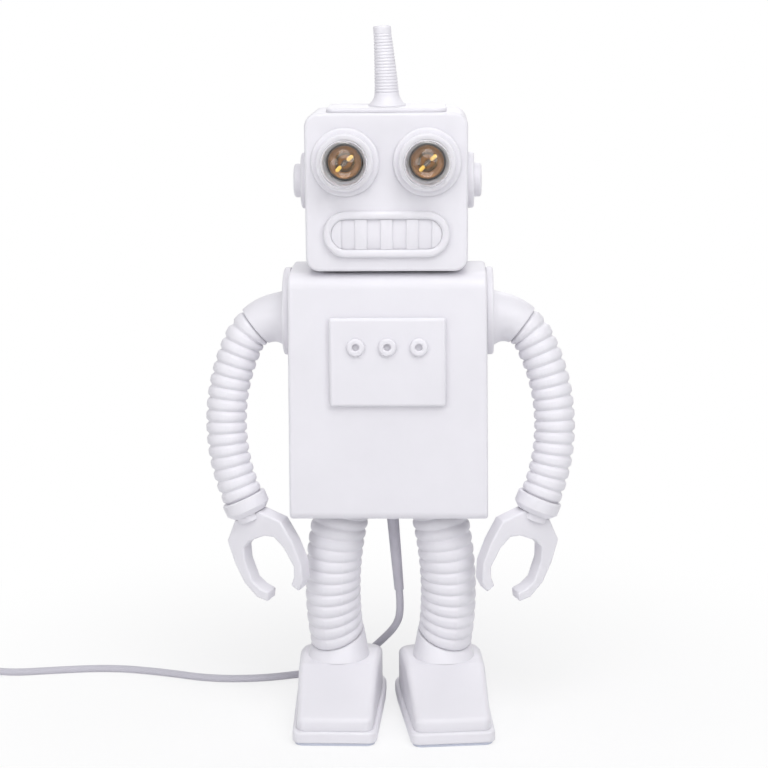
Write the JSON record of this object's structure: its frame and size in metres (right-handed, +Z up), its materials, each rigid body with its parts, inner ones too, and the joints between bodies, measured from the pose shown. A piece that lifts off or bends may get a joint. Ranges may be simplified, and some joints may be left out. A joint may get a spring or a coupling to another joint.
{
  "type": "robot shaped desk lamp",
  "caption": "White cast desk lamp shaped like a standing toy robot, with clear globe bulbs for eyes, ribbed arms with open claws, block feet and a corded switch and plug.",
  "frame": {"origin": "on the table, under the middle of the lamp's width and depth without its cord", "axes": "+Z up, -Y the way the robot looks, +X to the right as the viewer in front sees it"},
  "size_m": [0.6466, 0.1595, 0.5278],
  "materials": {
    "paint": "satin white on cast resin",
    "plate_steel": "zinc plated",
    "screw_steel": "bright",
    "bulb_glass": "clear",
    "bulb_cap": "satin",
    "filament": "yellow coated",
    "holder": "matte",
    "foot_rubber": "soft matte",
    "cord": "fine woven",
    "white_plastic": "satin",
    "relief": "matte",
    "wire": "plain",
    "pins": "nickel plated"
  },
  "bodies": {
    "lamp": {"antenna": "paint", "antenna_bolt": "screw_steel", "arm_bolts": "screw_steel", "base_plate": "plate_steel", "base_screws": "screw_steel", "chest_buttons": "paint", "chest_panel": "paint", "cord_coil": "cord", "cord_gland": "white_plastic", "cord_link": "cord", "cord_run": "cord", "foot_pads": "foot_rubber", "head_lid": "paint", "head_shell": "paint", "inner_wires": "wire", "left_ankle_collar": "paint", "left_arm_hose": "paint", "left_bulb_cap": "bulb_cap", "left_bulb_filament": "filament", "left_bulb_glass": "bulb_glass", "left_claw": "paint", "left_ear": "paint", "left_eye_ring": "paint", "left_foot_sole": "paint", "left_foot_upper": "paint", "left_lamp_holder": "holder", "left_leg_hose": "paint", "left_shoulder_plate": "paint", "left_upper_arm": "paint", "left_wrist_cuff": "paint", "leg_rods": "screw_steel", "mouth_frame": "paint", "mouth_grille": "paint", "neck_nuts": "screw_steel", "neck_plate": "plate_steel", "neck_tube": "plate_steel", "plug_body": "white_plastic", "plug_pins": "pins", "right_ankle_collar": "paint", "right_arm_hose": "paint", "right_bulb_cap": "bulb_cap", "right_bulb_filament": "filament", "right_bulb_glass": "bulb_glass", "right_claw": "paint", "right_ear": "paint", "right_eye_ring": "paint", "right_foot_sole": "paint", "right_foot_upper": "paint", "right_lamp_holder": "holder", "right_leg_hose": "paint", "right_shoulder_plate": "paint", "right_upper_arm": "paint", "right_wrist_cuff": "paint", "strain_relief": "relief", "switch_base": "white_plastic", "switch_cover": "white_plastic", "terminal_block": "white_plastic", "torso_shell": "paint"},
    "rocker": {"switch_rocker": "white_plastic"}
  },
  "joints": [
    {"name": "rocker_tilt", "type": "hinge", "parent": "lamp", "child": "rocker", "pos_m": [-0.388, 0.0755, 0.0073], "axis": [0, 1, 0], "range_deg": [0, 12]}
  ]
}
